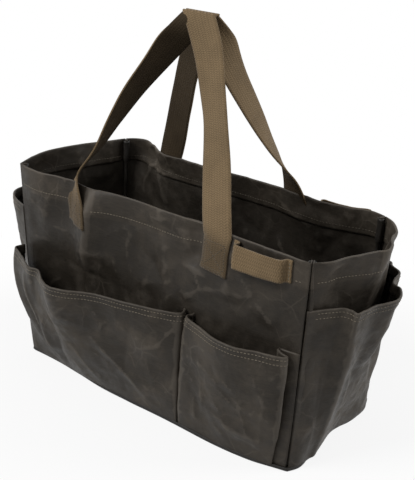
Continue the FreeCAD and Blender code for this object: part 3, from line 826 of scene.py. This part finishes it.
def shadeFeet(piece, unshadedFrom, paintedShade):
    # painted shade: the sewn ends are darker than the free strap; the mark stays with the cloth when it swings
    mesh = piece.data
    spots = np.empty(len(mesh.vertices) * 3, dtype=np.float32)
    mesh.vertices.foreach_get("co", spots)
    paintPoints(mesh, "paintedShade", within((unshadedFrom - spots[2::3]) / (unshadedFrom - paintedShade)))


def handlePiece(side):
    panel, back = panels[side], side == "back"
    lean, width, step = math.radians(webbing["lean"]), webbing["width"], webbing["rowStep"]
    leftFoot, rightFoot = webbing["leftFoot"], webbing["rightFoot"]
    up = np.array([0, math.sin(lean), math.cos(lean)])
    outward = np.array([0, -math.cos(lean), math.sin(lean)])
    columns = np.linspace(-0.5, 0.5, webbing["columns"])
    # the back handle is the front one turned round
    turned = np.array([-1.0, -1.0, 1.0]) if back else np.ones(3)
    shift = np.array([2 * webbing["middle"], 0, 0]) if back else np.zeros(3)

    def inPlane(x, slant, lift):
        return np.array([x, -webbing["hingeY"], webbing["hingeZ"]]) + up * slant + outward * lift

    def onPanel(xs, z, lift):
        return (panel.at(xs if not back else shift[0] - xs, z, lift) - shift) * turned

    def footShift(xs):
        # the strap leaves the cloth where the cloth really is at the rim
        straight = np.array([inPlane(x, 0, 0) for x in xs])
        return (onPanel(xs, webbing["leaveZ"], 2.2) - straight
                + np.array([0, 0, webbing["hingeZ"] - webbing["leaveZ"]]))

    def legRows(leg, sense, ridgeLift, foot):
        # the stations give the middle of the strap
        path = smoothRow([(x, s, turn) for s, x, turn in leg], int(abs(leg[-1][0] - leg[0][0]) / step))
        direction = unit(np.gradient(path[:, :2], axis=0))
        shiftAtFoot = footShift(foot - columns * width * (sense < 0))
        rows = []
        for (x, slant, turn), (dx, ds) in zip(path, direction):
            along = dx * np.array([1.0, 0, 0]) + ds * up
            side0 = np.cross(outward, along)
            side0 = unit(side0 if side0[0] > 0 else -side0)
            angle = math.radians(turn)
            across = (math.cos(angle) * side0 + math.sin(angle) * outward) * sense
            lift = ridgeLift * within((slant - 110) / 60)
            cup = unit(np.cross(across, along)) * ((0.25 - columns**2) * 1.2)[:, None]
            settle = shiftAtFoot * max(0.0, 1 - slant / 45) ** 2
            rows.append(inPlane(x, slant, lift) + across * columns[:, None] * width + cup + settle)
        return rows

    def sewnRows(x, flipped, top):
        zs = np.arange(webbing["footZ"], top, step)
        rows = []
        for z in (zs if not flipped else zs[::-1]):
            # the front handle's left end is sewn on a little askew
            slide = 0 if flipped or back else -7 * ((z - zs[0]) / 34) ** 2
            lift = (bag["canvas"] + webbing["thick"]) / 2 + webbing["clear"] + 0.55 * max(0, (z - 226) / 12)
            rows.append(onPanel(x + slide + columns * width * (-1 if flipped else 1), z, lift))
        return rows

    # the strap is folded over at the top
    half = width / 2 / math.cos(math.radians(webbing["ridgeTurn"]))
    ridge = []
    for angle in (0, 45, 90, 135, 180):
        a = math.radians(angle)
        ridge.append(np.array([inPlane(x, webbing["slant"] - 1.9 + 0.95 * math.sin(a), -math.cos(a))
                               for x in webbing["middle"] - columns * 2 * half]))
    legs = handleLegs[side]
    lower = sewnRows(leftFoot, False, webbing["leftTop"]) + legRows(legs["twisted"], 1, -1.0, leftFoot)
    upper = legRows(legs["plain"], -1, 1.0, rightFoot) + sewnRows(rightFoot, True, webbing["rightTop"])

    def bridge(a, b, steps=9):
        return [a * (1 - t) + b * t for t in np.linspace(0, 1, steps + 2)[1:-1]]

    grid = np.array(lower + bridge(lower[-1], ridge[0]) + ridge + bridge(ridge[-1], upper[0]) + upper)
    # the rows are smoothed, apart from the sewn ends and the fold
    keep = np.zeros((len(grid), 1, 1))
    keep[len(lower) + 4:len(lower) + 14 + len(ridge)] = 1
    keep[:8] = keep[-13:] = 1
    for _ in range(9):
        grid[1:-1] = grid[1:-1] * keep[1:-1] + (1 - keep[1:-1]) * (
            0.25 * grid[:-2] + 0.5 * grid[1:-1] + 0.25 * grid[2:])
    grid = grid * turned + shift
    piece = thickCloth(side + "_handle_webbing", grid, webbing["thick"], [webbingOut, webbingShadedBack], wearGain=0)
    # painted shade on the sewn ends
    shadeFeet(piece, 0.240, 0.222)
    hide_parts(side + "_handle", side + "_handle_left_end", side + "_handle_right_end")
    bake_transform(piece)
    return grid


handleGrids = {side: handlePiece(side) for side in ("front", "back")}
print("handles made")

# (x, lift off the cloth) along the strap; it sags between sagFrom and sagTo
loopStrap = {"low": 213.5, "high": 237.5, "sag": 0.8, "sagFrom": 116, "sagTo": 171, "line": [
    (109, 0.0), (112, 0.0), (114.6, 0.8), (116.6, 4.0), (115.2, 7.4), (117, 10.0), (123, 9.8), (140, 9.2),
    (156, 8.8), (166, 8.2), (170, 6.4), (171.6, 2.4), (173, 0.3), (178, 0.0)]}


def loopPiece(side):
    path = smoothRow(loopStrap["line"], 60)
    columns = np.linspace(loopStrap["low"], loopStrap["high"], 11)
    start, end = loopStrap["sagFrom"], loopStrap["sagTo"]
    grid = np.zeros((len(path), len(columns), 3))
    for r, (x, lift) in enumerate(path):
        sag = loopStrap["sag"] * math.sin((x - start) / (end - start) * math.pi) if start < x < end else 0
        spots = panels[side].at(np.full(len(columns), x), columns,
                                (bag["canvas"] + webbing["thick"]) / 2 + webbing["clear"])
        grid[r] = spots + np.array([0, (-1 if side == "front" else 1) * lift, -sag])
    if side == "front":
        grid = grid[:, ::-1]
    piece = thickCloth(side + "_tool_loop_webbing", grid, webbing["thick"],
                       [webbingOut, webbingShadedBack], wearGain=0)
    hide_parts(side + "_tool_loop")
    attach(piece, "bag")
    return grid


loopGrids = {side: loopPiece(side) for side in ("front", "back")}
print("tool loops made")

# heights and drops in millimetres; the gaps in x are where the straps cover the row
sewing = {"rimZ": 217.5, "rimGaps": [(-123, -81), (65, 106), (107.5, 115), (171, 179)],
          "mouthDrops": (2.6, 8.0)}


def sewRows(name, lines):
    piece = stitches(name + "_thread", lines, threadFinish)
    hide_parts(name)
    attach(piece, "bag")


def overlay(grid, start, end):
    # a straight line of (row share, column share) on the outside of a strap
    rows, columns = [np.array([start[k] + (end[k] - start[k]) * t for t in np.linspace(0, 1, 24)])
                     * (grid.shape[k] - 1) for k in (0, 1)]
    normal = unit(gridAt(normalsOf(grid), rows, columns))
    return gridAt(grid, rows, columns) + normal * webbing["thick"] / 2, normal


rimLines = []
for side in sideOrder:
    panel, seam = panels[side], bag["seamColumns"]
    points, normals = panel.rowLine(sewing["rimZ"], bag["canvas"] / 2, seam, panel.grid.shape[1] - seam)
    inGap = np.zeros(len(points), bool)
    if panel.axis == 0:
        for low, high in sewing["rimGaps"]:
            inGap |= (points[:, 0] > low) & (points[:, 0] < high)
    cuts = np.flatnonzero(np.diff(inGap.astype(int)))
    for part in np.split(np.arange(len(points)), cuts + 1):
        if not inGap[part[0]] and len(part) > 3:
            rimLines.append((points[part], normals[part]))
    # the same row shows on the inside hem, darkened with painted shade
    rimLines.append((points - normals * (bag["canvas"] + bag["hemGap"]), -normals, 1.0))
sewRows("rim_stitching", rimLines)

for name, (shape, *_) in pocketPlaces.items():
    face, first = pockets[name], shape["sewnFrom"]
    sewRows(name + "_stitching", [
        face.rowLine(face.grid[-1, 0, 2] - drop, bag["canvas"] / 2, first, face.grid.shape[1] - first)
        for drop in sewing["mouthDrops"]])

for side in ("front", "back"):
    grid = handleGrids[side]
    lines = []
    share = 1.0 / (len(grid) - 1)
    # a box with a cross in it on each sewn end, darkened with painted shade like the ends
    for foot, sense in ((0.0, 1.0), (1.0, -1.0)):
        low, high = foot + sense * share * 1.1, foot + sense * share * 9.6
        for a, b in (((low, 0.1), (high, 0.1)), ((high, 0.1), (high, 0.9)), ((high, 0.9), (low, 0.9)),
                     ((low, 0.9), (low, 0.1)), ((low, 0.1), (high, 0.9)), ((low, 0.9), (high, 0.1))):
            lines.append((*overlay(grid, a, b), 1.0))
    sewRows(side + "_handle_stitching", lines)
    lines = [((0.01, 0.12), (0.01, 0.88)), ((0.01, 0.12), (0.05, 0.88)), ((0.05, 0.12), (0.01, 0.88)),
             ((0.97, 0.08), (0.97, 0.92))]
    sewRows(side + "_tool_loop_stitching", [overlay(loopGrids[side], *ends) for ends in lines])
print("stitching made")

# lengths in metres; surround is how much of the room's light reaches the bag
studio = {"floor": (0.98, 0.98, 0.98, 1), "floorBounce": (0.4, 0.4, 0.4, 1), "surround": 0.36,
          "sky": (1.0, 1.0, 1.0, 1), "shadowReach": (0.28, 0.5), "whiteNear": 0.85, "floorHalf": 6}


def seenStraight(tree):
    # 1 for what the camera sees, also in a reflection or through something; 0 for light that bounces
    rays = node(tree, "ShaderNodeLightPath")
    return calc(tree, "MAXIMUM", rays.outputs["Is Camera Ray"], calc(
        tree, "MAXIMUM", rays.outputs["Is Glossy Ray"], rays.outputs["Is Transmission Ray"]))


def floorMaterial():
    material, tree = emptyMaterial("paleFloor")
    # the camera sees a white floor, and the bag gets less light back from it
    seen = seenStraight(tree)
    plain = node(tree, "ShaderNodeBsdfDiffuse", {"Color": mixColour(
        tree, seen, studio["floorBounce"], studio["floor"])})
    # further out the floor is as white as the room, so only the shadow beside the bag shows
    place = node(tree, "ShaderNodeNewGeometry").outputs["Position"]
    away = node(tree, "ShaderNodeVectorMath", {0: place}, operation="LENGTH").outputs["Value"]
    white = spread(tree, away, *studio["shadowReach"], studio["whiteNear"], 1.0)
    glow = node(tree, "ShaderNodeEmission", {"Color": studio["sky"], "Strength": 1.0})
    both = node(tree, "ShaderNodeMixShader", {0: calc(tree, "MULTIPLY", white, seen), 1: plain.outputs[0],
                                              2: glow.outputs[0]})
    node(tree, "ShaderNodeOutputMaterial", {0: both.outputs[0]})
    return material


def held(name, data, right, up, ahead, place):
    # a lamp or camera that looks ahead from its place
    holder = bpy.data.objects.new(name, data)
    bpy.context.scene.collection.objects.link(holder)
    holder.matrix_world = Matrix([[right[i], up[i], -ahead[i], place[i]] for i in range(3)] + [[0, 0, 0, 1]])
    return holder


def lamp(name, place, target, size, power):
    light = bpy.data.lights.new(name, "AREA")
    light.shape, light.size, light.energy = "DISK", size, power
    ahead = np.array(target) - np.array(place)
    ahead = ahead / np.linalg.norm(ahead)
    side = unit(np.cross(ahead, [0, 0, 1.0]))
    held(name, light, side, np.cross(side, ahead), ahead, place)


floor = bpy.data.meshes.new("floor")
far = studio["floorHalf"]
floor.from_pydata([(-far, -far, 0), (far, -far, 0), (far, far, 0), (-far, far, 0)], [], [(0, 1, 2, 3)])
floor.materials.append(floorMaterial())
floorPiece = bpy.data.objects.new("floor", floor)
bpy.context.scene.collection.objects.link(floorPiece)
floorPiece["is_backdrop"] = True

world = bpy.data.worlds.new("softRoom")
bpy.context.scene.world = world
world.use_nodes = True
tree = world.node_tree
tree.nodes.clear()
strength = calc(tree, "MULTIPLY_ADD", seenStraight(tree), 1.0 - studio["surround"], studio["surround"])
sky = node(tree, "ShaderNodeBackground", {"Color": studio["sky"], "Strength": strength})
node(tree, "ShaderNodeOutputWorld", {0: sky.outputs[0]})

lamp("keyLight", (-1.0, -1.7, 1.9), (0, 0, 0.1), 1.1, 39)
lamp("sideLight", (1.9, 1.4, 1.5), (0, 0, 0.15), 1.3, 28)

camera = bpy.data.cameras.new("camera")
camera.lens, camera.sensor_width, camera.sensor_fit = 69.45, 36, "AUTO"
camera.clip_start = 0.05
eye = {"right": (0.7967, 0.6027, 0.0445), "up": (-0.2723, 0.2924, 0.9167), "ahead": (-0.5395, 0.7425, -0.3971),
       "place": (0.5789, -0.7769, 0.598)}
bpy.context.scene.camera = held("camera", camera, **eye)
bpy.context.scene.view_settings.view_transform = "Standard"
print("scene lit")

bpy.context.view_layer.update()
{"cad": cadBox, "visual": [list(corner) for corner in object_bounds()]}
